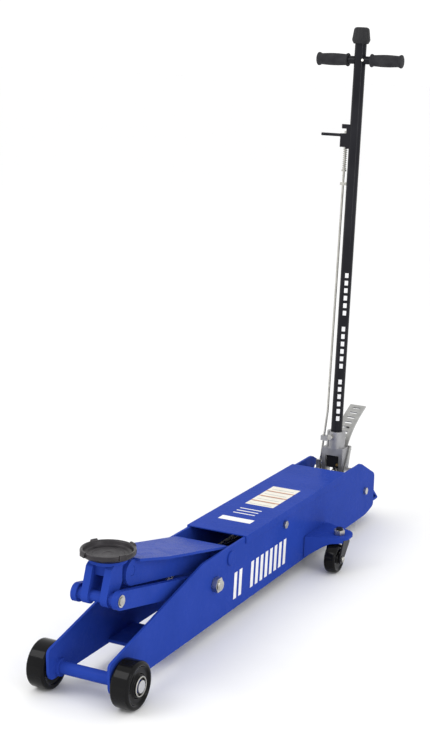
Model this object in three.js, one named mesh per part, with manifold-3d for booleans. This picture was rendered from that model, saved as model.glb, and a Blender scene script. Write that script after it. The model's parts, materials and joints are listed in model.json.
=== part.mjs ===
// A long-chassis hydraulic service jack. Millimetres, +Z up, +Y towards the handle, +X the jack's left.
// Heights are above the floor. Lengths are measured from the front axle until the last line of the layout,
// which moves the whole jack so that its origin is the middle of its box, on the floor.
import * as THREE from "three";
import { mergeVertices } from "three/addons/utils/BufferGeometryUtils.js";
import Module from "manifold-3d";

const wasm = await Module();
wasm.setup();

// ---- driving dimensions ----
const GAP = 0.3; // running and seating clearance between separate pieces
const WHEEL_R = 53;
const WHEEL_W = 47.7;
const PLATE_IN = 72; // inner and outer faces of the side plates
const PLATE_OUT = 78;
const PLATE_BOTTOM = 33;
const PLATE_TOP = 198;
const REAR_END = 1492;
const COVER_SHEET = 3;
const COVER_FRONT = 588;
const COVER_REAR = 1212;
const AXLE_R = 14;
const ARM_PIVOT = [509, 169]; // [along, height] of each cross axis
const LINK_PIVOT = [429, 130];
const LINK_PIN = [36, 215];
const ARM_PIN = [
  LINK_PIN[0] + ARM_PIVOT[0] - LINK_PIVOT[0],
  LINK_PIN[1] + ARM_PIVOT[1] - LINK_PIVOT[1],
];
const ARM_LENGTH = Math.hypot(LINK_PIVOT[0] - LINK_PIN[0], LINK_PIN[1] - LINK_PIVOT[1]);
const ARM_ANGLE = Math.atan2(LINK_PIN[1] - LINK_PIVOT[1], LINK_PIVOT[0] - LINK_PIN[0]);
const ARM_HALF = 28; // height of the top plate's face above the arm's centre line
const ARM_PLATE = [27, 37];
const LINK_SPAN = [44, 57];
const LINK_HALF = 20.5;
const CRANK_R = 85;
const CRANK_REST = THREE.MathUtils.degToRad(13.5); // the crank leans this far behind straight down
const CRANK_ROLLER_R = 16;
const RAM_FACE = 545.5;
const RAM_HEIGHT = 92;
const RAM_R = 15;
const TANK_R = 46;
const TANK_FRONT = 660;
const BLOCK_FRONT = 1060;
const SPRING_X = 60;
const SPRING_HEIGHT = 110;
const SPRING_ANCHOR = 830;
const SADDLE_AT = 76;
const SADDLE_BASE = 290;
const SADDLE_R = 61;
const SOCKET_PIVOT = [1321.5, 165];
const PLUNGER_AT = SOCKET_PIVOT[0] + 24;
const HANDLE_LEAN = THREE.MathUtils.degToRad(2.7);
const TUBE_R = 16;
const TUBE_BORE = 13;
const TUBE_TOP = 1190;
const T_BAR_HEIGHT = 1147;
const T_BAR_R = 11;
const GRIP_END = 122;
const STEM = [150, 1010]; // caster swivel axis, [across, along]
const CASTER_TRAIL = 28;
const CASTER_R = 38;
const BRACKET_TOP = 95;
const LATCH_TOP = [-26, 955]; // the latch rod's top, bend and foot, [across, up the handle]
const LATCH_KNEE = [-30.5, 170];
const LATCH_FOOT = [-43.5, 24];
const LATCH_R = 3.2;
const LATCH_HOLE = 3.7;
const LEVER_PIN_R = 2.4;
const LEVER_PIVOT = [944, -34.8]; // [up the tube, across]
const ROLLER_AT = [18, 22]; // [along, up] from the socket's pivot
const SLEEVE_R = 26;
const SLEEVE_TOP = 118;
const COVER_BOLT = [816, 165];
const REAR_BOLT = [1367, 108];
const BOLT_R = 6;
const SHAFT_R = 15;
const LINK_BOLT_R = 11;
const SPRING_PIN_R = 4.5;

// ---- finishes ----
const BLUE = ["#23409c", 0.35, 0.3];
const BLACK = ["#17181a", 0.4, 0.3];
const RUBBER = ["#202124", 0.85, 0];
const TYRE = ["#101113", 0.3, 0];
const ZINC = ["#c9c8c2", 0.35, 0.9];
const CAST = ["#a3a5a8", 0.45, 0.8];
const IRON = ["#3a3a3d", 0.55, 0.7];
const CHROME = ["#d6d8da", 0.15, 1];

// ---- shape tools ----
function solid(geometry) {
  const flat = geometry.index ? geometry.toNonIndexed() : geometry;
  const bare = new THREE.BufferGeometry().setAttribute("position", flat.getAttribute("position"));
  const merged = mergeVertices(bare, 1e-4);
  const index = merged.index.array;
  const faces = [];
  for (let i = 0; i < index.length; i += 3) {
    const [a, b, c] = [index[i], index[i + 1], index[i + 2]];
    if (a !== b && b !== c && c !== a) faces.push([a, b, c]);
  }
  const build = (list) =>
    new wasm.Manifold(
      new wasm.Mesh({
        numProp: 3,
        vertProperties: merged.attributes.position.array,
        triVerts: new Uint32Array(list.flat()),
      }),
    );
  const made = build(faces);
  return made.volume() < 0 ? build(faces.map(([a, b, c]) => [a, c, b])) : made;
}

const FRAMES = {
  x: new THREE.Matrix4().makeBasis(
    new THREE.Vector3(0, 1, 0),
    new THREE.Vector3(0, 0, 1),
    new THREE.Vector3(1, 0, 0),
  ),
  y: new THREE.Matrix4().makeBasis(
    new THREE.Vector3(0, 0, 1),
    new THREE.Vector3(1, 0, 0),
    new THREE.Vector3(0, 1, 0),
  ),
  z: new THREE.Matrix4(),
};

// A flat outline pushed along an axis. Its points are [y, z] along x, [z, x] along y and [x, y] along z.
function prism(axis, points, from, to) {
  const shape = new THREE.Shape(points.map(([a, b]) => new THREE.Vector2(a, b)));
  const low = Math.min(from, to);
  const geometry = new THREE.ExtrudeGeometry(shape, {
    depth: Math.abs(to - from),
    bevelEnabled: false,
  });
  return solid(geometry.translate(0, 0, low).applyMatrix4(FRAMES[axis]));
}

function arc([cx, cy], radius, start, end, steps) {
  return Array.from({ length: steps + 1 }, (_, i) => {
    const t = start + ((end - start) * i) / steps;
    return [cx + radius * Math.cos(t), cy + radius * Math.sin(t)];
  });
}

function rod(axis, centre, radius, from, to, sides = 18) {
  return prism(axis, arc(centre, radius, 0, 2 * Math.PI, sides).slice(0, -1), from, to);
}

function box([x0, x1], [y0, y1], [z0, z1]) {
  const size = [x1 - x0, y1 - y0, z1 - z0];
  const geometry = new THREE.BoxGeometry(...size);
  return solid(geometry.translate((x0 + x1) / 2, (y0 + y1) / 2, (z0 + z1) / 2));
}

// An outline whose corners are rounded by the given radius.
function rounded(points, radius, steps = 3) {
  const count = points.length;
  return points.flatMap(([px, py], i) => {
    const here = new THREE.Vector2(px, py);
    const before = new THREE.Vector2(...points[(i + count - 1) % count]).sub(here);
    const after = new THREE.Vector2(...points[(i + 1) % count]).sub(here);
    const reach = Math.min(radius, before.length() / 2.2, after.length() / 2.2);
    const start = before.setLength(reach).add(here);
    const end = after.setLength(reach).add(here);
    return new THREE.QuadraticBezierCurve(start, here, end).getPoints(steps).map((p) => [p.x, p.y]);
  });
}

// The outline of a bar with a round end at each of two centres.
function bar(p, rp, q, rq, steps = 8) {
  const heading = Math.atan2(q[1] - p[1], q[0] - p[0]);
  const spread = Math.acos((rp - rq) / Math.hypot(q[0] - p[0], q[1] - p[1]));
  return [
    ...arc(p, rp, heading + spread, heading + 2 * Math.PI - spread, steps),
    ...arc(q, rq, heading - spread, heading + spread, steps),
  ];
}

// A turned piece about z, from [radius, height] points, moved to a place.
function turned(profile, [x, y, z] = [0, 0, 0], sides = 24) {
  const geometry = new THREE.LatheGeometry(
    profile.map(([r, h]) => new THREE.Vector2(r, h)),
    sides,
  );
  return solid(geometry.rotateX(Math.PI / 2).translate(x, y, z));
}

// The same about x, where heights run along x.
function turnedX(profile, [x, y, z], sides = 32) {
  const geometry = new THREE.LatheGeometry(
    profile.map(([r, h]) => new THREE.Vector2(r, h)),
    sides,
  );
  return solid(geometry.rotateZ(-Math.PI / 2).translate(x, y, z));
}

const join = (...parts) => parts.reduce((a, b) => a.add(b));
const cut = (body, ...tools) => tools.reduce((a, b) => a.subtract(b), body);
const mirrored = (side, a, b) => [Math.min(side * a, side * b), Math.max(side * a, side * b)];

// A wire coil about a straight line from a point, in wire of square section.
function coil(start, heading, length, radius, wire, turns, stepsPerTurn = 6) {
  const along = new THREE.Vector3(...heading).normalize();
  const u = new THREE.Vector3(1, 0, 0);
  if (Math.abs(along.x) > 0.9) u.set(0, 1, 0);
  u.cross(along).normalize();
  const v = new THREE.Vector3().crossVectors(along, u);
  const steps = turns * stepsPerTurn;
  const points = Array.from({ length: steps + 1 }, (_, i) => {
    const angle = (2 * Math.PI * i) / stepsPerTurn;
    return new THREE.Vector3(...start)
      .addScaledVector(along, (length * i) / steps)
      .addScaledVector(u, radius * Math.cos(angle))
      .addScaledVector(v, radius * Math.sin(angle));
  });
  const section = new THREE.Shape(
    arc([0, 0], wire, 0, 2 * Math.PI, 4)
      .slice(0, -1)
      .map(([a, b]) => new THREE.Vector2(a, b)),
  );
  const path = new THREE.CatmullRomCurve3(points);
  return solid(new THREE.ExtrudeGeometry(section, { steps, extrudePath: path }));
}

// ---- scene graph ----
const jack = new THREE.Group();
jack.name = "service_jack";

function frameAt([along, height], turn = 0) {
  const group = new THREE.Group();
  group.position.set(0, along, height);
  group.rotation.x = turn;
  jack.add(group);
  return group;
}

const armFrame = frameAt(ARM_PIVOT, -ARM_ANGLE);
const linkFrame = frameAt(LINK_PIVOT, -ARM_ANGLE);
const handleFrame = frameAt(SOCKET_PIVOT, -HANDLE_LEAN);
const pedalFrame = frameAt(SOCKET_PIVOT);

function piece(name, body, [color, roughness, metalness], parent = jack) {
  const { vertProperties, triVerts, numProp } = body.getMesh();
  const positions = new Float32Array((vertProperties.length / numProp) * 3);
  for (let i = 0; i < positions.length / 3; i++) {
    positions.set(vertProperties.subarray(i * numProp, i * numProp + 3), i * 3);
  }
  const geometry = new THREE.BufferGeometry()
    .setAttribute("position", new THREE.BufferAttribute(positions, 3))
    .setIndex(new THREE.BufferAttribute(new Uint32Array(triVerts), 1));
  geometry.computeVertexNormals();
  const mesh = new THREE.Mesh(geometry, new THREE.MeshStandardMaterial({ color, roughness, metalness }));
  mesh.name = name;
  parent.add(mesh);
}

// Calls a maker for the left (+X) and right (-X) side.
function bothSides(make) {
  make(1, "left");
  make(-1, "right");
}

// ---- chassis ----
function sidePlate(side, name) {
  const outline = rounded(
    [
      [-45, 104],
      [-42, 48],
      [-32, PLATE_BOTTOM],
      [1383, PLATE_BOTTOM],
      [1441, 45],
      [1441, 142],
      [1330, PLATE_TOP],
      [370, PLATE_TOP],
    ],
    12,
  );
  const hole = ([y, z], r) => rod("x", [y, z], r + GAP, side * 50, side * 90);
  const inside = side * (PLATE_IN + 1);
  const weldBoss = rod("x", [0, WHEEL_R], 20, side * 64, inside);
  const springPin = rod("x", [SPRING_ANCHOR, SPRING_HEIGHT], SPRING_PIN_R, side * 53, inside, 12);
  const plate = join(prism("x", outline, side * PLATE_IN, side * PLATE_OUT), weldBoss);
  const drilled = cut(
    plate,
    hole([0, WHEEL_R], AXLE_R),
    hole(ARM_PIVOT, SHAFT_R),
    hole(LINK_PIVOT, LINK_BOLT_R),
    hole(COVER_BOLT, BOLT_R),
    hole(REAR_BOLT, BOLT_R),
  );
  piece("side_plate_" + name, join(drilled, springPin), BLUE);
}

function topCover() {
  const under = PLATE_TOP + GAP;
  const top = under + COVER_SHEET;
  const inner = PLATE_OUT + GAP;
  const outer = inner + COVER_SHEET;
  const along = [COVER_FRONT, COVER_REAR];
  let cover = box([-outer, outer], along, [under, top]);
  for (const side of [1, -1]) {
    const flange = box(mirrored(side, inner, outer), along, [top - 19, top]);
    const tab = box(mirrored(side, PLATE_IN - GAP - 6, PLATE_IN - GAP), [798, 834], [148, under + 1]);
    cover = join(cover, flange, cut(tab, rod("x", COVER_BOLT, BOLT_R + GAP, side * 50, side * 90)));
  }
  piece("top_cover", cover, BLUE);
}

function tiePlates() {
  const half = PLATE_IN - GAP;
  piece("tie_plate", box([-half, half], [200, 318], [36, 44]), BLUE);
  const folded = [
    [1399, 112],
    [1399, 106],
    [1440, 92],
    [1480, 60],
    [1440, 58],
    [1440, 52],
    [1490, 52],
    [REAR_END, 57],
    [1444, 98],
  ];
  piece("rear_plate", prism("x", folded, -half, half), BLUE);
}

function hexBolt(side, at, name) {
  const head = rod("x", at, 10.5, side * (PLATE_OUT + GAP), side * 85, 6);
  const shank = rod("x", at, BOLT_R, side * 56, side * (PLATE_OUT + GAP + 1), 16);
  piece(name, join(head, shank), ZINC);
}

function linkBolt(side, name) {
  const head = rod("x", LINK_PIVOT, 17, side * 38.5, side * (LINK_SPAN[0] - GAP));
  const shank = rod("x", LINK_PIVOT, LINK_BOLT_R, side * 43, side * 97);
  const nut = rod("x", LINK_PIVOT, 19, side * (PLATE_OUT + GAP), side * 92, 6);
  piece("link_bolt_" + name, join(head, shank, nut), ZINC);
}

function frontAxle() {
  piece("front_axle", rod("x", [0, WHEEL_R], AXLE_R, -131, 131, 24), BLUE);
}

function frontWheel(side, name) {
  const bore = AXLE_R + GAP;
  const face = WHEEL_W;
  const profile = [
    [bore, 0],
    [WHEEL_R - 8, 0],
    [WHEEL_R - 2, 3],
    [WHEEL_R, 9],
    [WHEEL_R, face - 9],
    [WHEEL_R - 2, face - 3],
    [WHEEL_R - 8, face],
    [WHEEL_R - 17, face],
    [WHEEL_R - 20, face - 3],
    [26, face - 3],
    [24, face],
    [bore, face],
    [bore, 0],
  ];
  const placed = profile.map(([r, h]) => [r, side * h]);
  const at = [side * (PLATE_OUT + 1 + GAP), 0, WHEEL_R];
  piece("front_wheel_" + name, turnedX(placed, at, 30), TYRE);
}

function mainShaft() {
  piece("main_pivot_shaft", rod("x", ARM_PIVOT, SHAFT_R, -81.5, 81.5, 24), BLUE);
}

// ---- lifting linkage ----
function liftArm() {
  const nose = [-ARM_LENGTH, 0];
  const crankTurn = CRANK_REST + ARM_ANGLE;
  const crankTip = [CRANK_R * Math.sin(crankTurn), -CRANK_R * Math.cos(crankTurn)];
  const hubEnd = PLATE_IN - 0.5;
  const noseEdge = 4 - ARM_LENGTH; // the top plate's front edge
  const aboveWebs = box([-80, 80], [noseEdge, 60], [22.5, 60]);
  let arm = rod("x", [0, 0], 26, -hubEnd, hubEnd, 24);
  for (const side of [1, -1]) {
    const web = prism("x", bar([0, 0], 28, [2 - ARM_LENGTH, -4], 29), side * ARM_PLATE[0], side * ARM_PLATE[1]);
    const lever = prism("x", bar([0, 0], 24, crankTip, 12), side * 10, side * 22);
    arm = join(arm, cut(web, aboveWebs), lever);
  }
  const top = prism(
    "z",
    [
      [-50, noseEdge],
      [50, noseEdge],
      [68, -300],
      [68, -6],
      [-68, -6],
      [-68, -300],
    ],
    22,
    ARM_HALF,
  );
  const bottom = box([-28, 28], [60 - ARM_LENGTH, -50], [-24, -18]);
  const crankPin = rod("x", crankTip, 6, -22, 22, 16);
  arm = join(arm, top, bottom, crankPin);
  const bores = [rod("x", [0, 0], SHAFT_R + GAP, -80, 80, 24), rod("x", nose, 11 + GAP, -60, 60)];
  piece("lift_arm", cut(arm, ...bores), BLUE, armFrame);
  const roller = rod("x", crankTip, CRANK_ROLLER_R, -9.5, 9.5, 24);
  piece("crank_roller", cut(roller, rod("x", crankTip, 6 + GAP, -12, 12, 16)), CHROME, armFrame);
  piece("arm_pin", rod("x", nose, 11, -36.7, 36.7), BLUE, armFrame);
}

function link(side, name) {
  const outline = bar([0, 0], LINK_HALF, [-ARM_LENGTH, 0], LINK_HALF);
  const blade = prism("x", outline, side * LINK_SPAN[0], side * LINK_SPAN[1]);
  const hub = rod("x", [0, 0], 20, side * (LINK_SPAN[1] - 1), side * (PLATE_IN - 0.5));
  const holes = [
    rod("x", [0, 0], LINK_BOLT_R + GAP, side * 40, side * 80),
    rod("x", [-ARM_LENGTH, 0], 10 + GAP, side * 40, side * 80),
  ];
  piece("link_" + name, cut(join(blade, hub), ...holes), BLUE, linkFrame);
}

function saddleYoke() {
  const top = SADDLE_BASE - 6;
  const legOutline = [
    ...arc(LINK_PIN, 19, Math.PI * 0.87, Math.PI * 1.75, 10),
    [68, 221],
    [82, 240],
    [82, top],
    [46, top],
    [38, 278],
  ];
  let yoke = join(
    rod("z", [0, SADDLE_AT], 42, SADDLE_BASE - 7, SADDLE_BASE, 28),
    rod("z", [0, SADDLE_AT], 24, 258, SADDLE_BASE - 1),
    prism("x", bar(ARM_PIN, 20, [86, 266], 16), -26.5, 26.5),
    box([-31, 31], [48, 80], [257, top]),
    rod("x", LINK_PIN, 12.5, -16, 16, 20),
  );
  for (const side of [1, -1]) {
    const leg = prism("x", legOutline, side * 15, side * 32);
    const neck = rod("x", LINK_PIN, 14, side * 31, side * (LINK_SPAN[0] - GAP), 20);
    yoke = join(yoke, leg, neck);
  }
  yoke = cut(
    yoke,
    rod("z", [0, SADDLE_AT], 15 + GAP, 262, SADDLE_BASE + 1),
    rod("x", LINK_PIN, 10 + GAP, -50, 50),
    rod("x", ARM_PIN, 11 + GAP, -50, 50),
  );
  piece("saddle_yoke", yoke, BLUE);
  piece("yoke_pin", rod("x", LINK_PIN, 10, -61, 61), ZINC);
}

function saddle() {
  const base = SADDLE_BASE + GAP;
  const profile = [
    [0, 265],
    [15, 265],
    [15, base],
    [38, base],
    [56, base + 6],
    [SADDLE_R, base + 11],
    [SADDLE_R, base + 18],
    [SADDLE_R - 3, base + 20],
    [SADDLE_R - 7, base + 18],
    [SADDLE_R - 10, base + 9.5],
    [SADDLE_R - 14, base + 8],
    [0, base + 8],
  ];
  let dish = turned(profile, [0, SADDLE_AT, 0], 24);
  for (let i = 0; i < 4; i++) {
    const turn = THREE.MathUtils.degToRad(61 + 90 * i);
    const lug = new THREE.BoxGeometry(8, 16, 12).translate(SADDLE_R - 0.5, 0, base + 17);
    dish = join(dish, solid(lug.rotateZ(turn).translate(0, SADDLE_AT, 0)));
  }
  piece("saddle", dish, IRON);
}

// ---- hydraulics ----
function ram() {
  const behind = RAM_FACE + 20;
  const nose = box([-9.2, 9.2], [RAM_FACE, behind + 1], [76, 108]);
  const block = box([-36, 36], [behind, behind + 34], [64, 116]);
  const pins = rod("x", [behind + 25, SPRING_HEIGHT], SPRING_PIN_R, -67, 67, 12);
  piece("ram_crosshead", join(nose, block, pins), CAST);
  const start = behind + 34 + GAP;
  const rodBody = rod("y", [RAM_HEIGHT, 0], RAM_R, start, 851, 20);
  const piston = rod("y", [RAM_HEIGHT, 0], 25.7, 850, 870, 20);
  piece("ram", join(rodBody, piston), CHROME);
}

function tank() {
  const tube = rod("y", [RAM_HEIGHT, 0], TANK_R, TANK_FRONT, BLOCK_FRONT, 28);
  const thread = rod("y", [RAM_HEIGHT, 0], 34, TANK_FRONT - 5, 690, 20);
  const bore = rod("y", [RAM_HEIGHT, 0], 26, 689, 910, 20);
  piece("hydraulic_tank", cut(tube, thread, bore), CAST);
  const nut = rod("y", [RAM_HEIGHT, 0], 42, 634, TANK_FRONT - GAP, 8);
  const neck = rod("y", [RAM_HEIGHT, 0], 33.7, TANK_FRONT - 1, 689.5, 20);
  const gland = rod("y", [RAM_HEIGHT, 0], RAM_R + GAP, 600, 700, 20);
  piece("gland_nut", cut(join(nut, neck), gland), ZINC);
}

function valveBlock() {
  const [pivotY, pivotZ] = SOCKET_PIVOT;
  const front = BLOCK_FRONT + GAP;
  let block = join(
    box([-52, 52], [front, 1301], [46, 138]),
    box([-52, 52], [1300, 1395], [60, 128]),
    box([-(PLATE_IN - GAP), PLATE_IN - GAP], [1350, 1390], [88, 126]),
    box([-50, -37.6], [pivotY - 15, pivotY - 6], [127, 196]),
  );
  for (const side of [1, -1]) {
    const lug = prism("x", bar([pivotY, pivotZ], 17, [pivotY, 124], 22), side * 37.6, side * 50);
    block = join(block, lug);
  }
  const pivot = rod("x", SOCKET_PIVOT, 9 + GAP, -60, 60);
  const stemHole = rod("z", [0, pivotY], 6 + GAP, 90, 150, 16);
  const barrelHole = rod("z", [0, PLUNGER_AT], 10.5 + GAP, 76, 150);
  const bolts = [1, -1].map((side) => rod("x", REAR_BOLT, BOLT_R + GAP, side * 54, side * 80, 16));
  piece("valve_block", cut(block, pivot, stemHole, barrelHole, ...bolts), CAST);
}

function pump() {
  const barrel = [
    [0, 78],
    [10.5, 78],
    [10.5, 136],
    [6 + GAP, 136],
    [6 + GAP, 80],
    [0, 80],
  ];
  piece("pump_barrel", turned(barrel, [0, PLUNGER_AT, 0], 18), ZINC);
  const plunger = [
    [0, 110],
    [6, 110],
    [6, 172.6],
    [10.5, 172.6],
    [10.5, 177.6],
    [0, 177.6],
  ];
  piece("pump_plunger", turned(plunger, [0, PLUNGER_AT, 0], 18), CHROME);
  piece("pump_spring", coil([0, PLUNGER_AT, 138], [0, 0, 1], 33, 8.4, 1.2, 5), ZINC);
}

function valveStem() {
  const [y, z] = SOCKET_PIVOT;
  const cup = arc([0, z], 9.8, 0, -Math.PI / 2, 4);
  const profile = [[0, 96], [6, 96], [6, 149], [10, 153], [12.3, 160], [12.3, z], ...cup];
  piece("valve_stem", turned(profile, [0, y, 0], 16), ZINC);
}

function returnSpring(side, name) {
  const start = [side * SPRING_X, RAM_FACE + 53, SPRING_HEIGHT];
  const length = SPRING_ANCHOR - 8 - start[1];
  piece("return_spring_" + name, coil(start, [0, 1, 0], length, 6, 1.5, 11), ZINC);
}

// ---- handle, in the frame of its socket's pivot with +Z up the tube ----

// How far across the latch rod is at a height up the handle.
function latchAt(height) {
  const [low, high] = height < LATCH_KNEE[1] ? [LATCH_FOOT, LATCH_KNEE] : [LATCH_KNEE, LATCH_TOP];
  return low[0] + ((height - low[1]) / (high[1] - low[1])) * (high[0] - low[0]);
}

// A round bar between two points of the handle's middle plane, each [across, up].
function strut([fromX, fromZ], [toX, toZ], radius) {
  const length = Math.hypot(toX - fromX, toZ - fromZ);
  const geometry = new THREE.CylinderGeometry(radius, radius, length, 12).rotateX(Math.PI / 2);
  geometry.rotateY(Math.atan2(toX - fromX, toZ - fromZ));
  return solid(geometry.translate((fromX + toX) / 2, 0, (fromZ + toZ) / 2));
}

function handleSocket() {
  const arm = [
    ...arc([0, 0], 17, Math.PI, 2 * Math.PI, 12),
    [24, 20],
    [22, 72],
    [-22, 72],
    [-22, 30],
  ];
  let socket = join(
    box([-31, 31], [-22, 22], [50, 72]),
    rod("z", [0, 0], SLEEVE_R, 70, SLEEVE_TOP, 24),
    rod("y", [104, -4], 9, -33, -20, 16),
    box([-44, -24], [-8, 8], [86, 100]),
    rod("x", ROLLER_AT, 4, -21, 21, 16),
  );
  for (const side of [1, -1]) {
    socket = join(socket, prism("x", arm, side * 20, side * 31));
  }
  socket = cut(
    socket,
    rod("z", [0, 0], TUBE_R + GAP, 60, 130, 24),
    rod("z", [0, 0], 8, 40, 70, 16),
    rod("x", [0, 0], 9 + GAP, -40, 40),
    strut(LATCH_FOOT, LATCH_KNEE, LATCH_HOLE),
    box([-15, -12], [-30, -14], [74, 119]),
  );
  piece("handle_socket", socket, CAST, handleFrame);
  const roller = cut(rod("x", ROLLER_AT, 8, -9, 9, 24), rod("x", ROLLER_AT, 4 + GAP, -12, 12, 16));
  piece("pump_roller", roller, ZINC, handleFrame);
}

function socketPin(side, name) {
  const shank = rod("x", SOCKET_PIVOT, 9, side * 19.8, side * 51);
  const head = rod("x", SOCKET_PIVOT, 14, side * (50 + GAP), side * 57, 6);
  piece("socket_pin_" + name, join(shank, head), ZINC);
}

function handleTube() {
  const wall = rod("z", [0, 0], TUBE_R, 60 + GAP, TUBE_TOP, 24);
  const tube = cut(wall, rod("z", [0, 0], TUBE_BORE, 50, TUBE_TOP + 5, 24));
  piece("handle_tube", cut(tube, rod("x", [0, T_BAR_HEIGHT], T_BAR_R + GAP, -30, 30)), BLACK, handleFrame);
  const crossTube = rod("x", [0, T_BAR_HEIGHT], T_BAR_R, -118.5, 118.5);
  const passage = rod("z", [0, 0], 6.5, T_BAR_HEIGHT - 20, T_BAR_HEIGHT + 20, 16);
  piece("t_bar", cut(crossTube, passage), BLACK, handleFrame);
}

function grip(side, name) {
  const bore = T_BAR_R + GAP;
  const profile = [
    [bore, 32],
    [17.5, 32],
    [18.2, 34.5],
    [17.5, 37],
    [15, 40],
    [16.6, 76],
    [15, 112],
    [17.5, 116.5],
    [18.2, 119.5],
    [16.5, GRIP_END],
    [0, GRIP_END],
    [0, 119.5],
    [bore, 119.5],
    [bore, 32],
  ];
  const placed = profile.map(([r, h]) => [r, side * h]);
  piece("grip_" + name, turnedX(placed, [0, 0, T_BAR_HEIGHT], 16), RUBBER, handleFrame);
}

function release() {
  const ball = arc([0, 0], 8, -Math.PI / 2, Math.PI / 3.3, 8);
  const profile = [...ball, [4.5, 7], [4.5, TUBE_TOP + 30], [0, TUBE_TOP + 30]];
  piece("release_rod", turned(profile, [0, 0, 0], 16), ZINC, handleFrame);
  const low = TUBE_TOP + 1;
  const knob = [
    [4.8, low],
    [19, low],
    [25, low + 10],
    [24.5, low + 14],
    [21, low + 40],
    [18, low + 43],
    [0, low + 43],
    [0, low + 30],
    [4.8, low + 30],
    [4.8, low],
  ];
  piece("release_knob", turned(knob, [0, 0, 0], 24), BLACK, handleFrame);
}

function latch() {
  const clear = rod("z", [0, 0], TUBE_R + GAP, 700, 1000, 24);
  const [pivotZ, pivotX] = LEVER_PIVOT;
  const blocks = join(
    box([-22, -10], [-12, 12], [908, 974]),
    box([-39, -18], [-12, 12], [912, 949]),
    box([-37, -20], [-9, 9], [962, 974]),
  );
  const cavity = box([-60, -19.9], [-8.5, 8.5], [928, 962]);
  const bracket = cut(blocks, clear, cavity, rod("z", [latchAt(920), 0], LATCH_HOLE, 900, 940, 16));
  const pin = rod("y", LEVER_PIVOT, LEVER_PIN_R, -11, 11, 12);
  piece("latch_bracket", join(bracket, pin), BLACK, handleFrame);
  const tip = prism("x", arc([0, pivotZ], 4.2, 0, 2 * Math.PI, 12).slice(0, -1), -99, -41);
  const fork = rod("z", [latchAt(pivotZ), 0], 4.7, 930, 960, 16);
  const pinHole = rod("y", [pivotZ, pivotX], LEVER_PIN_R + GAP, -12, 12, 12);
  const lever = join(box([-42, -23], [-8, 8], [pivotZ - 4, pivotZ + 4]), tip);
  piece("latch_lever", cut(lever, fork, pinHole), BLACK, handleFrame);

  const [kneeX, kneeZ] = LATCH_KNEE;
  const wire = join(
    strut(LATCH_FOOT, LATCH_KNEE, LATCH_R),
    strut(LATCH_KNEE, LATCH_TOP, LATCH_R),
    solid(new THREE.SphereGeometry(LATCH_R, 12, 8).translate(kneeX, 0, kneeZ)),
  );
  const collar = rod("z", [latchAt(848), 0], 7, 846, 850, 16);
  const head = rod("z", [latchAt(953), 0], 5.6, 950, 956, 12);
  piece("latch_rod", join(wire, collar, head), ZINC, handleFrame);
  piece("latch_spring", coil([latchAt(880), 0, 852.5], [0, 0, 1], 56, 5.4, 1, 7), ZINC, handleFrame);
  const guide = cut(
    box([latchAt(812) - 7, -10], [-6, 6], [808, 816]),
    clear,
    rod("z", [latchAt(812), 0], LATCH_HOLE, 800, 820, 16),
  );
  piece("latch_guide", guide, ZINC, handleFrame);
}

function footPedal() {
  const route = new THREE.QuadraticBezierCurve(
    new THREE.Vector2(32, 66),
    new THREE.Vector2(70, 122),
    new THREE.Vector2(165, 157),
  );
  const count = 12;
  const middle = route.getPoints(count);
  const offset = (side) =>
    middle.map((p, i) => {
      const t = route.getTangent(i / count);
      return [p.x - t.y * side * 2, p.y + t.x * side * 2];
    });
  let pedal = prism("x", [...offset(1), ...offset(-1).reverse()], -24, 24);
  const slots = 7;
  for (let i = 0; i < slots; i++) {
    const share = 0.2 + (0.72 * i) / (slots - 1);
    const p = route.getPoint(share);
    const t = route.getTangent(share);
    const tool = new THREE.BoxGeometry(22, 7, 20).rotateX(Math.atan2(t.y, t.x));
    pedal = cut(pedal, solid(tool.translate(0, p.x, p.y)));
  }
  pedal = join(pedal, box([-36, 36], [30, 35], [60, 72]));
  for (const side of [1, -1]) {
    pedal = join(pedal, prism("x", bar([0, 0], 12, [29, 66], 5), side * 32, side * 36));
  }
  piece("foot_pedal", cut(pedal, rod("x", [0, 0], 9 + GAP, -60, 60)), CAST, pedalFrame);
}

// ---- casters ----
function casterBracket(side, name) {
  const plan = [
    [PLATE_OUT + GAP, 947],
    [172, 985],
    [180, 998],
    [180, 1034],
    [166, 1052],
    [PLATE_OUT + GAP, 1086],
  ];
  const start = new THREE.Vector2(...plan[0]);
  const run = new THREE.Vector2(...plan[1]).sub(start);
  const skirt = [
    [0, 38],
    [50, 70.5],
    [66, 78],
    [run.length(), 82],
    [run.length(), BRACKET_TOP],
    [0, BRACKET_TOP],
  ];
  const turn = new THREE.Matrix4().makeBasis(
    new THREE.Vector3(run.x, run.y, 0).normalize(),
    new THREE.Vector3(0, 0, 1),
    new THREE.Vector3(run.y, -run.x, 0).normalize(),
  );
  const sheet = new THREE.ExtrudeGeometry(new THREE.Shape(skirt.map((p) => new THREE.Vector2(...p))), {
    depth: 5,
    bevelEnabled: false,
  });
  sheet.applyMatrix4(turn).translate(start.x, start.y, 0);
  let bracket = join(prism("z", rounded(plan, 8), BRACKET_TOP - 8, BRACKET_TOP), solid(sheet));
  bracket = cut(bracket, box([60, PLATE_OUT + GAP], [900, 1100], [20, 120]), rod("z", STEM, 9 + GAP, 80, 100));
  piece("caster_bracket_" + name, side > 0 ? bracket : bracket.mirror([1, 0, 0]), BLUE);
}

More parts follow.
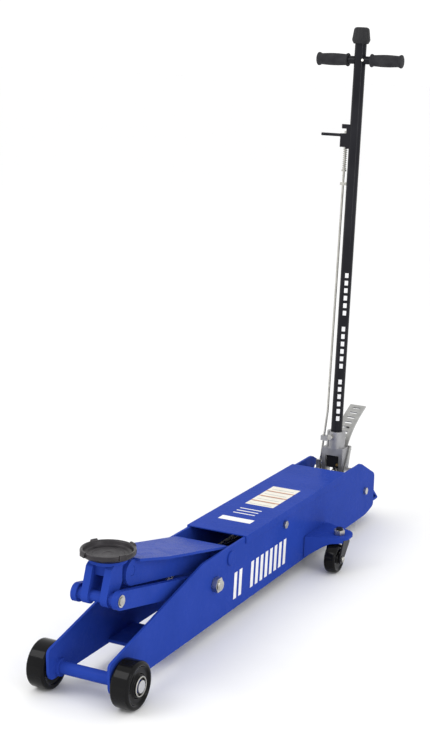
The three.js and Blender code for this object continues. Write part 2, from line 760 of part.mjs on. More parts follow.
function caster(side, name) {
  const [x, y] = [side * STEM[0], STEM[1]];
  const axle = [y - CASTER_TRAIL, CASTER_R];
  const crown = box([x - 22, x + 22], [y - 20, y + 20], [79, 85]);
  const race = rod("z", [x, y], 20, 84, BRACKET_TOP - 8 - GAP);
  const stem = rod("z", [x, y], 9, 84, 113);
  const legOutline = [
    [y + 20, 85],
    [y - 20, 85],
    ...arc(axle, 13, Math.PI * 0.9, Math.PI * 1.9, 8),
    [y + 20, 72],
  ];
  let fork = join(crown, race, stem);
  for (const hand of [1, -1]) fork = join(fork, prism("x", legOutline, x + hand * 18, x + hand * 22));
  piece("caster_fork_" + name, cut(fork, rod("x", axle, 5 + GAP, x - 30, x + 30, 16)), BLACK);
  const nut = cut(rod("z", [x, y], 15.5, BRACKET_TOP + GAP, 108, 6), rod("z", [x, y], 9 + GAP, 90, 120));
  piece("stem_nut_" + name, nut, ZINC);
  const bolt = join(rod("x", axle, 5, x - 27, x + 25, 16), rod("x", axle, 8, x + 22.3, x + 27, 6));
  piece("caster_axle_" + name, bolt, ZINC);
  const half = 16;
  const wheel = [
    [5 + GAP, -half],
    [CASTER_R - 8, -half],
    [CASTER_R - 1.5, -half + 2],
    [CASTER_R, -half + 5],
    [CASTER_R, half - 5],
    [CASTER_R - 1.5, half - 2],
    [CASTER_R - 8, half],
    [5 + GAP, half],
    [5 + GAP, -half],
  ];
  piece("caster_wheel_" + name, turnedX(wheel, [x, ...axle], 24), TYRE);
}

// ---- assembly ----
topCover();
tiePlates();
frontAxle();
mainShaft();
liftArm();
saddleYoke();
saddle();
ram();
tank();
valveBlock();
pump();
valveStem();
handleSocket();
handleTube();
release();
latch();
footPedal();
bothSides((side, name) => {
  sidePlate(side, name);
  hexBolt(side, COVER_BOLT, "cover_bolt_" + name);
  hexBolt(side, REAR_BOLT, "rear_bolt_" + name);
  linkBolt(side, name);
  frontWheel(side, name);
  link(side, name);
  returnSpring(side, name);
  socketPin(side, name);
  grip(side, name);
  casterBracket(side, name);
  caster(side, name);
});

// ---- layout ----
jack.position.y = (WHEEL_R - REAR_END) / 2;

export default jack;
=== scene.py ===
import json
import math

import bmesh
import bpy
from mathutils import Matrix, Vector


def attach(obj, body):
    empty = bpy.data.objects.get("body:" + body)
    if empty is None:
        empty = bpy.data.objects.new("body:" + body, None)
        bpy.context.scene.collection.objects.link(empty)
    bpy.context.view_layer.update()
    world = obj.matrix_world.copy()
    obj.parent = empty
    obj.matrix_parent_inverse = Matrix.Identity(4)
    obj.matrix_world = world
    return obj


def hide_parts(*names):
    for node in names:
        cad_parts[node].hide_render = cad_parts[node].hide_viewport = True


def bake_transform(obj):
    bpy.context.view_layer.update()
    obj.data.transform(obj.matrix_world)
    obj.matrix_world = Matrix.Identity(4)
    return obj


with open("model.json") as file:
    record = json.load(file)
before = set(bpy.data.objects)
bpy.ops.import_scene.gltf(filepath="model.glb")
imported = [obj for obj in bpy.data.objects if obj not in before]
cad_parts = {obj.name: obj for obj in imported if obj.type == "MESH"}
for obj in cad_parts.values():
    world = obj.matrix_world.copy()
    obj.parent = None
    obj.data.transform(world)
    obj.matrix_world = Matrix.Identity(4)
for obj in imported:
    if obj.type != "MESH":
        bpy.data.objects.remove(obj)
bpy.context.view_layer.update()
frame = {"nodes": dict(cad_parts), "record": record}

nodes = frame["nodes"]

MM = 0.001
AXLE_Y = -0.7195  # the front axle, along the jack
SIDES = {"left": 1, "right": -1}
LEAN = math.radians(2.7)
WHEEL_R = 53


def at(x, y, z):
    """A point given in millimetres, its length measured from the front axle."""
    return Vector((x * MM, AXLE_Y + y * MM, z * MM))


def tilted(origin, angle):
    """A frame at origin, turned back about the jack's cross axis."""
    return Matrix.Translation(origin) @ Matrix.Rotation(-angle, 4, "X")


HANDLE = tilted(at(0, 1321.5, 165), LEAN)
PLUNGER_Y = 1345.5
T_BAR_HEIGHT = 1147


# ---- materials ----
class Nodes:
    """A material's node tree, with short ways to add and join nodes."""

    def __init__(self, name):
        self.material = bpy.data.materials.new(name)
        self.material.use_nodes = True
        self.tree = self.material.node_tree
        self.shader = self.tree.nodes["Principled BSDF"]
        self.where = self.tree.nodes.new("ShaderNodeTexCoord").outputs["Object"]

    def add(self, kind, **values):
        node = self.tree.nodes.new(kind)
        for key, value in values.items():
            setattr(node, key, value)
        return node

    def join(self, source, target):
        self.tree.links.new(source, target)

    def stretched(self, scale):
        mapping = self.add("ShaderNodeMapping")
        mapping.inputs["Scale"].default_value = scale
        self.join(self.where, mapping.inputs["Vector"])
        return mapping.outputs["Vector"]

    def noise(self, scale, detail=3.0, stretch=None, roughness=0.55):
        node = self.add("ShaderNodeTexNoise")
        node.inputs["Scale"].default_value = scale
        node.inputs["Detail"].default_value = detail
        node.inputs["Roughness"].default_value = roughness
        self.join(self.stretched(stretch) if stretch else self.where, node.inputs["Vector"])
        return node.outputs["Fac"]

    def ranged(self, value, low, high, to_low, to_high):
        node = self.add("ShaderNodeMapRange", clamp=True)
        for key, number in zip(("From Min", "From Max", "To Min", "To Max"), (low, high, to_low, to_high)):
            node.inputs[key].default_value = number
        self.join(value, node.inputs["Value"])
        return node.outputs["Result"]

    def maths(self, operation, a, b=None):
        node = self.add("ShaderNodeMath", operation=operation)
        for socket, value in zip(node.inputs, (a, b)):
            if value is None:
                continue
            if isinstance(value, (int, float)):
                socket.default_value = value
            else:
                self.join(value, socket)
        return node.outputs["Value"]

    def mix(self, factor, a, b):
        node = self.add("ShaderNodeMix", data_type="RGBA")
        self.join(factor, node.inputs["Factor"])
        for socket, colour in ((node.inputs[6], a), (node.inputs[7], b)):
            if isinstance(colour, tuple):
                socket.default_value = (*colour, 1)
            else:
                self.join(colour, socket)
        return node.outputs[2]

    def edges(self, radius):
        """1 on sharp outer and inner edges, 0 on flat faces."""
        bevel = self.add("ShaderNodeBevel", samples=4)
        bevel.inputs["Radius"].default_value = radius
        true = self.add("ShaderNodeNewGeometry")
        dot = self.add("ShaderNodeVectorMath", operation="DOT_PRODUCT")
        self.join(bevel.outputs["Normal"], dot.inputs[0])
        self.join(true.outputs["Normal"], dot.inputs[1])
        return self.ranged(dot.outputs["Value"], 0.86, 0.995, 1.0, 0.0)

    def bump(self, layers):
        """layers: pairs of a height and its depth in metres."""
        previous = None
        for height, depth in layers:
            node = self.add("ShaderNodeBump")
            node.inputs["Strength"].default_value = 1.0
            node.inputs["Distance"].default_value = depth
            self.join(height, node.inputs["Height"])
            if previous:
                self.join(previous, node.inputs["Normal"])
            previous = node.outputs["Normal"]
        self.join(previous, self.shader.inputs["Normal"])


def finish(
    name, colours, roughness, grains, metallic=0.0, coat=0.0, edge=None, brushed=None, patch=9.0, specular=0.5
):
    """A surface: two shades in soft patches, a roughness that varies, and a bump of several grains.
    edge is (colour, radius, strength) for lighter edges, partly wear and partly a painted highlight."""
    n = Nodes(name)
    patches = n.noise(patch, 4.0)
    colour = n.mix(n.ranged(patches, 0.35, 0.65, 0.0, 1.0), *colours)
    rough = n.ranged(n.noise(34.0, 5.0, brushed), 0.3, 0.7, *roughness)
    # Lighter colour along sharp edges: partly paint wear, partly a painted highlight.
    if edge:
        wear_and_highlight_colour, radius, strength = edge
        broken = n.ranged(n.noise(160.0, 3.0), 0.35, 0.62, 0.25, 1.0)
        worn_and_highlit = n.maths("MULTIPLY", n.maths("MULTIPLY", n.edges(radius), broken), strength)
        colour = n.mix(worn_and_highlit, colour, wear_and_highlight_colour)
    n.join(colour, n.shader.inputs["Base Color"])
    n.join(rough, n.shader.inputs["Roughness"])
    n.shader.inputs["Metallic"].default_value = metallic
    n.shader.inputs["Coat Weight"].default_value = coat
    n.shader.inputs["Coat Roughness"].default_value = 0.12
    n.shader.inputs["Specular IOR Level"].default_value = specular
    n.bump([(n.noise(scale, 2.0, brushed), depth) for scale, depth in grains])
    return n


# Each edge colour below is lighter than its base: partly wear, partly a painted highlight.
BLUE_SHADES = ((0.018, 0.050, 0.32), (0.022, 0.056, 0.35))
blue = finish(
    "blue_paint", BLUE_SHADES, (0.2, 0.32), [(420.0, 0.00002), (2200.0, 0.00001)],
    coat=0.02, edge=((0.04, 0.09, 0.43), 0.0018, 0.4), specular=0.006,
).material
black = finish(
    "black_paint", ((0.011, 0.011, 0.014), (0.017, 0.017, 0.021)), (0.09, 0.17),
    [(500.0, 0.00002), (1800.0, 0.00001)], edge=((0.05, 0.05, 0.055), 0.0012, 0.4), specular=0.1,
).material
wheel_black = finish(
    "wheel_black", ((0.004, 0.004, 0.0045), (0.007, 0.007, 0.0075)), (0.06, 0.12),
    [(260.0, 0.00003), (1500.0, 0.00001)], coat=0.06, edge=((0.03, 0.03, 0.032), 0.0015, 0.3), specular=0.08,
).material
knob_plastic = finish(
    "knob_plastic", ((0.018, 0.018, 0.020), (0.026, 0.026, 0.028)), (0.48, 0.62),
    [(1400.0, 0.00008)], edge=((0.05, 0.05, 0.055), 0.001, 0.4), specular=0.2,
).material
foam = finish(
    "grip_foam", ((0.020, 0.020, 0.023), (0.032, 0.032, 0.035)), (0.72, 0.92),
    [(900.0, 0.00025), (2600.0, 0.0001)], patch=40.0, specular=0.2,
).material
zinc = finish(
    "zinc_steel", ((0.42, 0.41, 0.38), (0.55, 0.54, 0.50)), (0.2, 0.38),
    [(900.0, 0.00003), (240.0, 0.00004)], metallic=1.0, edge=((0.75, 0.74, 0.70), 0.001, 0.5), patch=60.0,
).material
cast = finish(
    "cast_metal", ((0.28, 0.28, 0.29), (0.38, 0.38, 0.39)), (0.3, 0.52),
    [(320.0, 0.00022), (1100.0, 0.00012)], metallic=0.85, edge=((0.72, 0.72, 0.73), 0.0015, 0.6), patch=30.0,
).material
alloy = finish(
    "pedal_alloy", ((0.32, 0.32, 0.31), (0.42, 0.42, 0.41)), (0.32, 0.5),
    [(700.0, 0.0001), (160.0, 0.0001)], metallic=0.8, edge=((0.85, 0.85, 0.83), 0.001, 0.6), patch=50.0,
).material
iron = finish(
    "saddle_iron", ((0.022, 0.020, 0.023), (0.038, 0.034, 0.038)), (0.28, 0.48),
    [(380.0, 0.0002), (1300.0, 0.0001)], metallic=0.55, edge=((0.17, 0.16, 0.16), 0.0018, 0.7), patch=45.0,
).material
chrome = finish(
    "hard_chrome", ((0.70, 0.70, 0.71), (0.78, 0.78, 0.79)), (0.06, 0.16),
    [(600.0, 0.00001)], metallic=1.0, patch=40.0,
).material
white_print = finish(
    "white_print", ((0.78, 0.78, 0.78), (0.86, 0.86, 0.86)), (0.35, 0.5), [(500.0, 0.00004)], patch=30.0
).material
cream_print = finish(
    "cream_print", ((0.74, 0.70, 0.60), (0.80, 0.77, 0.68)), (0.35, 0.5), [(500.0, 0.00004)], patch=30.0
).material
orange_print = finish(
    "orange_print", ((0.42, 0.13, 0.03), (0.48, 0.16, 0.04)), (0.35, 0.5), [(500.0, 0.00004)], patch=30.0
).material
grey_print = finish(
    "grey_print", ((0.34, 0.34, 0.35), (0.40, 0.40, 0.41)), (0.4, 0.55), [(500.0, 0.00004)], patch=30.0
).material
brass = finish(
    "brass", ((0.62, 0.40, 0.13), (0.70, 0.47, 0.17)), (0.22, 0.38), [(800.0, 0.00004)],
    metallic=1.0, edge=((0.85, 0.66, 0.32), 0.0008, 0.5), patch=60.0,
).material


AXLE_BARE_FROM = 0.1275


def axle_paint():
    """The axle is painted between the wheels and bare at its ends."""
    grains = [(420.0, 0.00002), (900.0, 0.00001)]
    n = finish("axle_paint", BLUE_SHADES, (0.2, 0.32), grains, coat=0.02, specular=0.006)
    split = n.add("ShaderNodeSeparateXYZ")
    n.join(n.where, split.inputs["Vector"])
    across = n.maths("ABSOLUTE", split.outputs["X"])
    bare = n.ranged(across, AXLE_BARE_FROM, AXLE_BARE_FROM + 0.0002, 0.0, 1.0)
    painted = n.shader.inputs["Base Color"].links[0].from_socket
    n.join(n.mix(bare, painted, (0.55, 0.55, 0.56)), n.shader.inputs["Base Color"])
    n.join(bare, n.shader.inputs["Metallic"])
    return n.material


FINISHES = {
    "blue_paint": blue,
    "black_paint": black,
    "knob_plastic": knob_plastic,
    "grip_rubber": foam,
    "wheel_black": wheel_black,
    "zinc_steel": zinc,
    "cast_metal": cast,
    "pedal_alloy": alloy,
    "saddle_iron": iron,
    "hard_chrome": chrome,
}


# ---- surface tools ----
def smoothing(angle):
    """A node group that drops stored normals and shades smooth up to an angle."""
    group = bpy.data.node_groups.new("smooth_by_angle", "GeometryNodeTree")
    for way in ("INPUT", "OUTPUT"):
        group.interface.new_socket("Geometry", in_out=way, socket_type="NodeSocketGeometry")
    new, link = group.nodes.new, group.links.new
    start, end = new("NodeGroupInput"), new("NodeGroupOutput")
    drop = new("GeometryNodeRemoveAttribute")
    drop.inputs["Name"].default_value = "custom_normal"
    faces = new("GeometryNodeSetShadeSmooth")
    faces.domain = "FACE"
    faces.inputs["Shade Smooth"].default_value = True
    sharp = new("GeometryNodeSetShadeSmooth")
    sharp.domain = "EDGE"
    sharp.inputs["Shade Smooth"].default_value = False
    edge = new("GeometryNodeInputMeshEdgeAngle")
    over = new("FunctionNodeCompare")
    over.operation = "GREATER_THAN"
    over.inputs[1].default_value = math.radians(angle)
    link(start.outputs[0], drop.inputs["Geometry"])
    link(drop.outputs[0], faces.inputs["Geometry"])
    link(faces.outputs[0], sharp.inputs["Geometry"])
    link(edge.outputs["Unsigned Angle"], over.inputs[0])
    link(over.outputs[0], sharp.inputs["Selection"])
    link(sharp.outputs[0], end.inputs[0])
    return group


SMOOTH = smoothing(47)


def round_edges(obj, width=0.8, segments=2, weld=False, merge_flats=True):
    """Rounds edges sharper than 33 degrees by a width in millimetres, and shades the rest smooth.
    weld first joins split vertices, and merge_flats then dissolves faces that share a plane."""
    if weld:
        obj.modifiers.new("weld", "WELD").merge_threshold = 0.00002
        if merge_flats:
            planar = obj.modifiers.new("planar", "DECIMATE")
            planar.decimate_type = "DISSOLVE"
            planar.angle_limit = math.radians(0.4)
    if width:
        bevel = obj.modifiers.new("round_edges", "BEVEL")
        bevel.width = width * MM
        bevel.segments = segments
        bevel.limit_method = "ANGLE"
        bevel.angle_limit = math.radians(33)
        bevel.use_clamp_overlap = True
    obj.modifiers.new("smooth", "NODES").node_group = SMOOTH
    obj.modifiers.new("even_normals", "WEIGHTED_NORMAL").keep_sharp = True


def mesh_piece(name, verts, faces, material, place=None):
    mesh = bpy.data.meshes.new(name)
    mesh.from_pydata([tuple(v) for v in verts], [], faces)
    shape = bmesh.new()
    shape.from_mesh(mesh)
    bmesh.ops.remove_doubles(shape, verts=shape.verts, dist=1e-7)
    bmesh.ops.recalc_face_normals(shape, faces=shape.faces)
    if place is not None:
        shape.transform(place)
    shape.to_mesh(mesh)
    shape.free()
    obj = bpy.data.objects.new(name, mesh)
    bpy.context.scene.collection.objects.link(obj)
    mesh.materials.append(material)
    return obj


def declare(obj, body, slot, *replaced):
    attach(obj, body)
    if replaced:
        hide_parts(*replaced)
    return obj


def soften(points, radius, steps=3):
    """Rounds the corners of a line of (radius, height) points by about a radius."""
    out = [points[0]]
    for before, here, after in zip(points, points[1:], points[2:]):
        a, b, c = Vector(before), Vector(here), Vector(after)
        into, away = b - a, c - b
        if into.length < 1e-9 or away.length < 1e-9:
            continue
        start = b - into.normalized() * min(radius, into.length * 0.45)
        end = b + away.normalized() * min(radius, away.length * 0.45)
        for i in range(steps + 1):
            t = i / steps
            out.append(tuple(start * (1 - t) ** 2 + b * (2 * t * (1 - t)) + end * t * t))
    return out + [points[-1]]


def turned(profile, sides=64, closed=False, flutes=None):
    """Vertices and faces, in millimetres, of (radius, height) points turned about Z.
    flutes is (count, depth, lowest, highest)."""
    verts, rings = [], []
    for r, h in profile:
        if r < 1e-6:
            rings.append([len(verts)] * sides)
            verts.append(Vector((0, 0, h)))
            continue
        rings.append(list(range(len(verts), len(verts) + sides)))
        for i in range(sides):
            angle = 2 * math.pi * i / sides
            reach = r
            if flutes and flutes[2] < h < flutes[3]:
                reach -= flutes[1] * (0.5 + 0.5 * math.cos(angle * flutes[0])) ** 2
            verts.append(Vector((reach * math.cos(angle), reach * math.sin(angle), h)))
    faces = []
    pairs = list(zip(rings, rings[1:])) + ([(rings[-1], rings[0])] if closed else [])
    for low, high in pairs:
        for i in range(sides):
            j = (i + 1) % sides
            corners = [low[i], low[j], high[j], high[i]]
            face = [c for k, c in enumerate(corners) if c != corners[k - 1]]
            if len(face) > 2:
                faces.append(face)
    return [v * MM for v in verts], faces


def along_x(origin, side=1):
    """A frame at origin whose Z points to +X, or to -X on the right-hand side."""
    return Matrix.Translation(origin) @ Matrix.Rotation(side * math.pi / 2, 4, "Y")


def lathe(name, profile, place, material, sides=64, closed=False, flutes=None):
    verts, faces = turned(profile, sides, closed, flutes)
    obj = mesh_piece(name, verts, faces, material, place)
    round_edges(obj, 0)
    return obj


def swept(name, points, radius, material, sides=8, place=None):
    """A round wire along points, all in millimetres, with closed ends."""
    points = [Vector(p) for p in points]
    verts, faces = [], []
    side = None
    for i, point in enumerate(points):
        ahead = points[min(i + 1, len(points) - 1)] - points[max(i - 1, 0)]
        ahead.normalize()
        if side is None:
            side = ahead.orthogonal().normalized()
        side = (side - ahead * side.dot(ahead)).normalized()
        other = ahead.cross(side)
        for k in range(sides):
            angle = 2 * math.pi * k / sides
            verts.append((point + (side * math.cos(angle) + other * math.sin(angle)) * radius) * MM)
    for i in range(len(points) - 1):
        for k in range(sides):
            j = (k + 1) % sides
            faces.append([i * sides + k, i * sides + j, (i + 1) * sides + j, (i + 1) * sides + k])
    faces.append(list(range(sides)))
    faces.append([(len(points) - 1) * sides + k for k in range(sides)])
    obj = mesh_piece(name, verts, faces, material, place)
    round_edges(obj, 0)
    return obj


def prism(name, outline, low, high, material, place, rounded=0.6):
    """An outline of (x, y) points pushed from low to high along Z, in millimetres."""
    count = len(outline)
    verts = [Vector((x, y, h)) * MM for h in (low, high) for x, y in outline]
    faces = [list(range(count)), list(range(count, 2 * count))]
    faces += [[i, (i + 1) % count, count + (i + 1) % count, count + i] for i in range(count)]
    obj = mesh_piece(name, verts, faces, material, place)
    round_edges(obj, rounded)
    return obj


def spring_points(turns, radius, start, end, per_turn=20, flat=0.75):
    """Points of a coil along Z with closed end turns."""
    points = []
    total = int(turns * per_turn)
    for i in range(total + 1):
        turn = i / per_turn
        lift = min(max(turn - flat, 0.0), turns - 2 * flat) / (turns - 2 * flat)
        angle = 2 * math.pi * turn
        points.append((radius * math.cos(angle), radius * math.sin(angle), start + (end - start) * lift))
    return points


# ---- the frame's own pieces ----
EDGE_WIDTHS = {
    "blue_paint": 1.0,
    "cast_metal": 1.2,
    "saddle_iron": 1.0,
    "zinc_steel": 0.6,
    "pedal_alloy": 0.5,
}
LONG_THIN = ("link_left", "link_right", "lift_arm")  # merged flats shade in dark wedges on these
LONG_THIN_EDGE = 0.4
OTHER_EDGE = 0.5
for part in frame["record"]["subparts"]:
    node, slot = nodes[part["node"]], part["material_slot"]
    for holder in node.material_slots:
        holder.material = FINISHES[slot]
    long_thin = part["node"] in LONG_THIN
    width = LONG_THIN_EDGE if long_thin else EDGE_WIDTHS.get(slot, OTHER_EDGE)
    round_edges(node, width, weld=True, merge_flats=not long_thin)
for holder in nodes["front_axle"].material_slots:
    holder.material = axle_paint()

# ---- wheels ----
WHEEL_INNER_X = 79.3
RING_INNER_X = 127.2
CASTER_X, CASTER_Y, CASTER_R = 150, 982, 38
FRONT_WHEEL = soften(
    [(14.4, 1), (23, 1), (26, 5), (39, 5), (42, 1.6), (48, 1.2), (WHEEL_R, 5), (WHEEL_R, 43), (48, 46.6),
     (43, 46.2), (39.5, 41), (27, 41), (24.5, 46.5), (14.4, 46.5)],
    3.2,
)
AXLE_RING = [(19.3, 0), (22, 0), (22.2, 1.6), (21.4, 2.4), (19.8, 2.4), (19.3, 1.6)]
CASTER_WHEEL = soften(
    [(5.6, 15.6), (13, 15.6), (15, 12), (27, 12), (30, 15.4), (34, 15.6), (38, 12), (38, -12), (34, -15.6),
     (30, -15.4), (27, -12), (15, -12), (13, -15.6), (5.6, -15.6)],
    2.2,
)
for name, side in SIDES.items():
    hub = along_x(at(side * WHEEL_INNER_X, 0, WHEEL_R), side)
    wheel = lathe("wheel_" + name, FRONT_WHEEL, hub, wheel_black, 96, closed=True)
    declare(wheel, "front_wheel_" + name, "wheel_black", "front_wheel_" + name)
    groove = along_x(at(side * RING_INNER_X, 0, WHEEL_R), side)
    ring = lathe("axle_ring_" + name, AXLE_RING, groove, zinc, 64, closed=True)
    declare(ring, "chassis", "zinc_steel")
    caster = along_x(at(side * CASTER_X, CASTER_Y, CASTER_R), side)
    roll = lathe("caster_tread_" + name, CASTER_WHEEL, caster, wheel_black, 72, closed=True)
    declare(roll, "caster_wheel_" + name, "wheel_black", "caster_wheel_" + name)

# ---- saddle ----
DISH = [
    (0, 265), (15, 265), (15, 290.3), (37, 290.3), (55, 295.8), (60.4, 300.6), (61, 303), (61, 307.4),
    (59.6, 310), (57.2, 310.2), (54.2, 308), (51.4, 300.2), (47, 298.5), (38, 298.3), (37, 297.7),
    (35, 297.7), (34, 298.3), (13, 298.3), (11.5, 297.2), (0, 297.2),
]
dish_verts, dish_faces = turned(soften(DISH, 1.2, 2), 96)
for i in range(4):
    turn = Matrix.Rotation(math.radians(61 + 90 * i), 4, "Z")
    base = len(dish_verts)
    for across, span, height in (
        (64.8, 9, 301), (64.8, 9, 308), (62.3, 7.5, 313), (58, 7, 313), (56, 8, 308), (56, 8.5, 301),
    ):
        dish_verts += [turn @ Vector((across * MM, s * span * MM, height * MM)) for s in (-1, 1)]
    for k in range(6):
        a, b = base + 2 * k, base + 2 * ((k + 1) % 6)
        dish_faces.append([a, a + 1, b + 1, b])
    dish_faces.append([base + 2 * k for k in range(6)])
    dish_faces.append([base + 2 * k + 1 for k in range(6)])
dish = mesh_piece("saddle_dish", dish_verts, dish_faces, iron, Matrix.Translation(at(0, 76, 0)))
round_edges(dish, 0.9)
declare(dish, "saddle", "saddle_iron", "saddle")

# ---- trim on the chassis and the linkage ----
ARM_PIVOT = (509, 169)
YOKE_PIN = (36, 215)
LINK_BOLT = (429, 130)
PIVOT_CAP = soften([(0, 0), (17.5, 0), (17.5, 3.2), (15.4, 4.3), (0, 4.3)], 0.8)
SNAP_RING = [(10.2, 0), (13.5, 0), (13.7, 0.6), (13.5, 1.2), (10.2, 1.2)]
THREAD = [(10.5, 92.2)] + [(11.1 + 0.45 * (i % 2), 92.2 + 0.5 * i) for i in range(10)] + [(10.5, 96.7)]
for name, side in SIDES.items():
    cap = lathe("pivot_cap_" + name, PIVOT_CAP, along_x(at(side * 78.1, *ARM_PIVOT), side), blue, 64)
    declare(cap, "chassis", "blue_paint")
    pin_end = along_x(at(side * 57.4, *YOKE_PIN), side)
    clip = lathe("yoke_ring_" + name, SNAP_RING, pin_end, zinc, 40, closed=True)
    declare(clip, "saddle_yoke", "zinc_steel")
    stud = lathe("stud_thread_" + name, THREAD, along_x(at(0, *LINK_BOLT), side), zinc, 40, closed=True)
    declare(stud, "chassis", "zinc_steel")

# ---- handle ----
FORWARD = Matrix.Rotation(math.pi / 2, 4, "X")  # turns Z to the jack's front


def hexagon(radius, x=0.0, y=0.0):
    angles = [math.pi * k / 3 for k in range(6)]
    return [(x + radius * math.cos(angle), y + radius * math.sin(angle)) for angle in angles]


clamp_bolt = prism("clamp_bolt", hexagon(8, -4, 104), 33.1, 38, zinc, HANDLE @ FORWARD, 0.6)
declare(clamp_bolt, "handle", "zinc_steel")
BOLT_FACE = HANDLE @ Matrix.Rotation(math.radians(42), 4, "Z") @ FORWARD
bar_bolt = prism("bar_bolt", hexagon(4, 0, T_BAR_HEIGHT), 15.4, 19, zinc, BOLT_FACE, 0.4)
declare(bar_bolt, "handle", "zinc_steel")
# A black panel across the socket's window: partly the dark part seen there, partly painted shade that darkens
# the window's hollow.
WINDOW_SHADE_PANEL = [(-19.4, 14), (19.4, 14), (19.4, 49.6), (-19.4, 49.6)]
declare(prism("socket_shade_panel", WINDOW_SHADE_PANEL, 12, 14, black, HANDLE @ FORWARD, 0.4), "handle", "black_paint")
window_panel_bolt = prism("window_panel_bolt", hexagon(4.2, 13.5, 23), 14.1, 17, brass, HANDLE @ FORWARD, 0.4)
declare(window_panel_bolt, "handle", "zinc_steel")

KNOB = [(0, 1234), (14, 1234), (17.4, 1233), (19.4, 1230.8)]
KNOB += [(21 + 0.38 * i, 1229 - 2.7 * i) for i in range(10)]
KNOB += [(25, 1201.6), (24.2, 1198), (20, 1190.4), (5, 1190.4), (5, 1221), (0, 1221)]
knob = lathe("fluted_knob", KNOB, HANDLE, knob_plastic, 168, closed=True, flutes=(14, 1.5, 1202, 1232))
declare(knob, "release", "knob_plastic", "release_knob")

GRIP = soften(
    [(11.5, 32.2), (17.2, 32.2), (18.2, 34.5), (17.2, 37.2), (15, 40), (15.7, 51), (16.4, 63.5), (16.6, 76),
     (16.4, 88), (15.7, 100), (15, 112), (17.2, 115.8), (18.2, 118.8), (17.4, 121.8), (0, 122)],
    1.6,
) + [(0, 119.6), (11.5, 119.6)]
for name, side in SIDES.items():
    place = HANDLE @ along_x((0, 0, T_BAR_HEIGHT * MM), side)
    foam_grip = lathe("foam_grip_" + name, GRIP, place, foam, 64, closed=True)
    declare(foam_grip, "handle", "grip_rubber", "grip_" + name)


# ---- springs ----
def fine_spring(name, place, coil_shape, wire, node):
    """A wire spring along its place's Z, baked into place; it hides the CAD spring node that it stands in
    for.
    """
    turns, radius, start, end = coil_shape
    obj = swept(name, spring_points(turns, radius, start, end), wire, zinc, 8, place)
    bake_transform(obj)
    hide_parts(node)


ALONG = Matrix.Rotation(-math.pi / 2, 4, "X")  # turns Z to the jack's back
LATCH_SPRING_X = -26.4
for name, side in SIDES.items():
    place = Matrix.Translation(at(side * 60, 598.5, 110)) @ ALONG
    fine_spring(
        "fine_return_spring_" + name, place, (26, 6, 0, 223.5), 1.3,
        "return_spring_" + name,
    )
fine_spring(
    "fine_latch_spring", HANDLE @ Matrix.Translation((LATCH_SPRING_X * MM, 0, 0)), (12, 5.4, 852, 909), 0.9,
    "latch_spring",
)
fine_spring(
    "fine_pump_spring", Matrix.Translation(at(0, PLUNGER_Y, 0)), (7, 8.4, 171, 138), 1.2,
    "pump_spring",
)

# ---- plain printed marks, with no lettering ----
COVER_FACE = Matrix.Translation(at(0, 0, 201.3))


def block(x0, x1, y0, y1):
    return [(x0, y0), (x1, y0), (x1, y1), (x0, y1)]


marks = [
    ("cover_strip", block(-41, 47, 675, 703), white_print, 0.15),
    ("cover_panel", block(-36, 43, 818, 990), cream_print, 0.15),
]
marks += [
    ("cover_mark_%d" % i, block(-30, 30, 736 + 20 * i, 741 + 20 * i), white_print, 0.15)
    for i in range(3)
]
marks += [
    ("panel_bar_%d" % i, block(-36, 43, 852 + 46 * i, 858 + 46 * i), orange_print, 0.22)
    for i in range(3)
]
marks += [
    ("panel_line_%d" % i, block(-28, 34, 826 + 23 * i, 829 + 23 * i), grey_print, 0.22)
    for i in range(7)
]
for name, outline, paint, thick in marks:
    declare(prism(name, outline, 0.02, thick, paint, COVER_FACE, 0), "chassis", "blue_paint")

PLATE_FACE = Matrix(((0, 0, 1, 0), (1, 0, 0, AXLE_Y), (0, 1, 0, 0), (0, 0, 0, 1)))  # Z to the jack's left
BAR_LOW, BAR_HIGH = 58, 124
STARTS = [530, 557] + [622 + 27 * i for i in range(8)]  # the foot of each bar, along the plate
for name, side in SIDES.items():
    for i, start in enumerate(STARTS):
        bar = [(start, BAR_LOW), (start + 15, BAR_LOW), (start + 19, BAR_HIGH), (start + 4, BAR_HIGH)]
        inner, outer = side * 78.03, side * 78.18
        stripe = prism("plate_bar_%s_%d" % (name, i), bar, inner, outer, white_print, PLATE_FACE, 0)
        declare(stripe, "chassis", "blue_paint")


DASH_RADII = (16.03, 16.2)  # just proud of the tube, which is 16 in radius


def tube_dashes(first, last, length, pitch, facing, width):
    """Curved white dashes up the front of the handle tube."""
    verts, faces = [], []
    height = first
    while height + length <= last:
        base = len(verts)
        steps = 6
        for h in (height, height + length):
            for r in DASH_RADII:
                for k in range(steps + 1):
                    angle = facing + width * (k / steps - 0.5)
                    verts.append(Vector((r * math.sin(angle), -r * math.cos(angle), h)) * MM)
        row = steps + 1
        for k in range(steps):
            for a, b in ((0, 1), (1, 3), (3, 2), (2, 0)):
                near, far = base + a * row + k, base + b * row + k
                faces.append([near, near + 1, far + 1, far])
        for k in (0, steps):
            faces.append([base + k, base + row + k, base + 3 * row + k, base + 2 * row + k])
        height += pitch
    return verts, faces


for i, (first, last) in enumerate(((150, 275), (300, 425), (450, 570))):
    verts, faces = tube_dashes(first, last, 13, 21, math.radians(27), math.radians(34))
    dashes = mesh_piece("tube_dashes_%d" % i, verts, faces, white_print, HANDLE)
    round_edges(dashes, 0)
    declare(dashes, "handle", "black_paint")

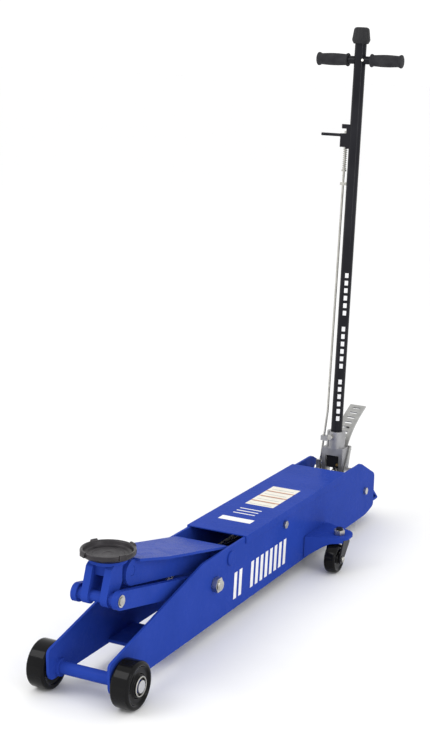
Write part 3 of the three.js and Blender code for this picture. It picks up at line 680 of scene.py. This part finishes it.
# ---- camera, floor, light ----
CAMERA_AT = (1.6086, -3.3465, 1.4209)
LENS, SENSOR = 76.14, 36
AZIMUTH, PITCH, ROLL = (math.radians(a) for a in (26.815, 12.79, 1.545))
back = Vector((math.sin(AZIMUTH) * math.cos(PITCH), -math.cos(AZIMUTH) * math.cos(PITCH), math.sin(PITCH)))
right = Vector((math.cos(AZIMUTH), math.sin(AZIMUTH), 0))
up = back.cross(right)
right, up = right * math.cos(ROLL) + up * math.sin(ROLL), up * math.cos(ROLL) - right * math.sin(ROLL)
lens = bpy.data.cameras.new("camera")
lens.lens, lens.sensor_width = LENS, SENSOR
camera = bpy.data.objects.new("camera", lens)
facing = Matrix((right, up, back)).transposed().to_4x4()
camera.matrix_world = Matrix.Translation(CAMERA_AT) @ facing
bpy.context.scene.collection.objects.link(camera)
bpy.context.scene.camera = camera

FLOOR_SHADES = ((0.92, 0.92, 0.92), (0.93, 0.93, 0.93))
FLOOR_CORNERS = [(-30, -30, 0), (30, -30, 0), (30, 30, 0), (-30, 30, 0)]
floor_paint = finish("floor", FLOOR_SHADES, (0.6, 0.7), [(60.0, 0.00002)]).material
floor = mesh_piece("floor", FLOOR_CORNERS, [[0, 1, 2, 3]], floor_paint)

world = bpy.data.worlds.new("studio")
world.use_nodes = True
world.node_tree.nodes["Background"].inputs["Color"].default_value = (1, 1, 1, 1)
world.node_tree.nodes["Background"].inputs["Strength"].default_value = 1.08
bpy.context.scene.world = world
bpy.context.scene.view_settings.view_transform = "Standard"


def softbox(name, place, aim, size, power):
    light = bpy.data.lights.new(name, "AREA")
    light.shape, light.size, light.size_y, light.energy = "RECTANGLE", *size, power
    obj = bpy.data.objects.new(name, light)
    obj.location = place
    obj.rotation_mode = "QUATERNION"
    obj.rotation_quaternion = (Vector(aim) - Vector(place)).to_track_quat("-Z", "Y")
    bpy.context.scene.collection.objects.link(obj)


softbox("key", (-2.0, -2.6, 3.2), (0, 0, 0.3), (1.8, 1.8), 38)
softbox("fill", (3.4, -1.4, 1.6), (0, 0, 0.4), (0.2, 2.2), 20)
